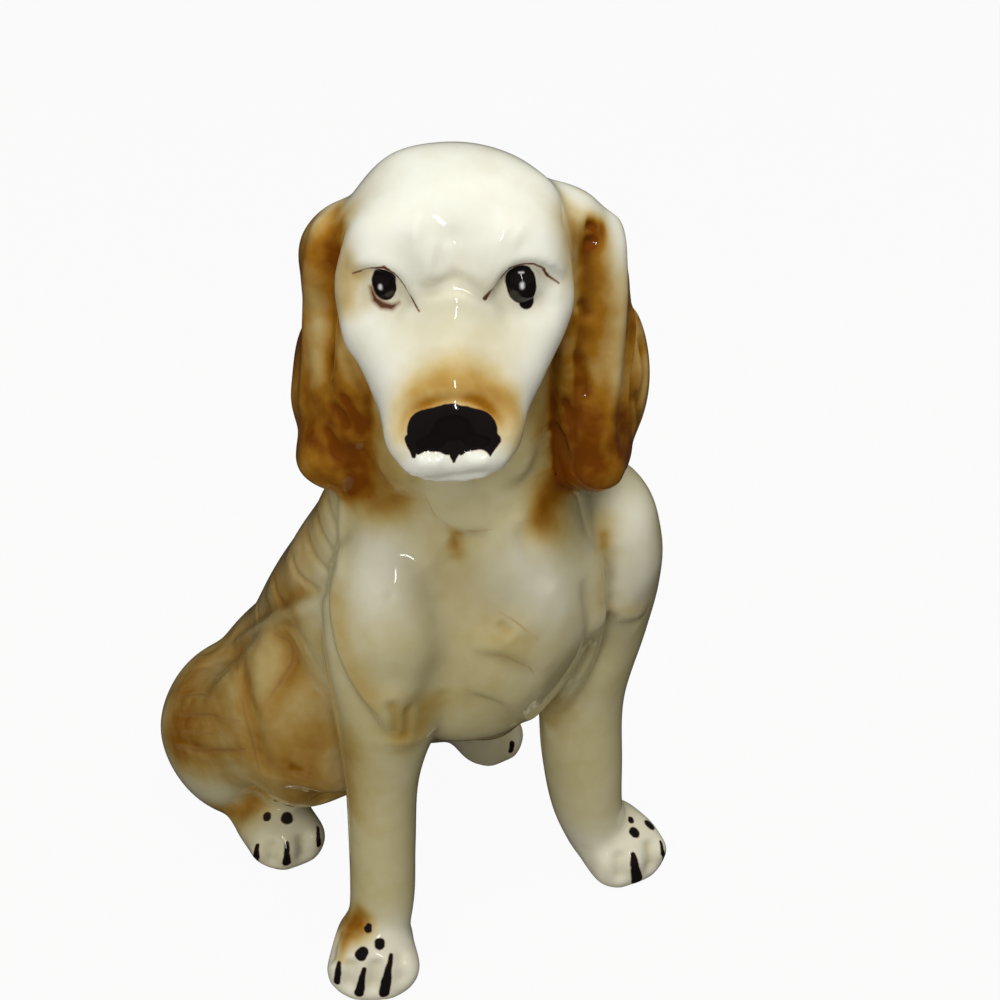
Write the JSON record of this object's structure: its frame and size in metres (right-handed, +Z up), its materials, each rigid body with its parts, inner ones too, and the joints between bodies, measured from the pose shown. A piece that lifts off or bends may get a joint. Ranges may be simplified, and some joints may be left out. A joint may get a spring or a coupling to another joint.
{
  "type": "ceramic dog figure",
  "caption": "Seated long-eared dog, hollow glazed ceramic ornament cast in separate pieces and fired as one, head turned to its right, standing on its paws and rump.",
  "frame": {"origin": "middle of the figure's box, on the ground", "axes": "+Z up, -Y the way the chest faces, +X the dog's left"},
  "size_m": [0.093, 0.1268, 0.1761],
  "materials": {
    "trunk_glaze": "clear gloss glaze over airbrushed colour",
    "head_glaze": "clear gloss glaze over airbrushed colour",
    "ear_glaze": "clear gloss glaze over airbrushed colour",
    "leg_glaze": "clear gloss glaze over airbrushed colour",
    "haunch_glaze": "clear gloss glaze over airbrushed colour",
    "paw_glaze": "clear gloss glaze over airbrushed colour",
    "tail_glaze": "clear gloss glaze over airbrushed colour"
  },
  "bodies": {
    "root": {"trunk": "trunk_glaze", "head": "head_glaze", "right_ear": "ear_glaze", "left_ear": "ear_glaze", "right_foreleg": "leg_glaze", "left_foreleg": "leg_glaze", "right_haunch": "haunch_glaze", "left_haunch": "haunch_glaze", "right_hind_paw": "paw_glaze", "left_hind_paw": "paw_glaze", "tail": "tail_glaze"}
  },
  "joints": []
}
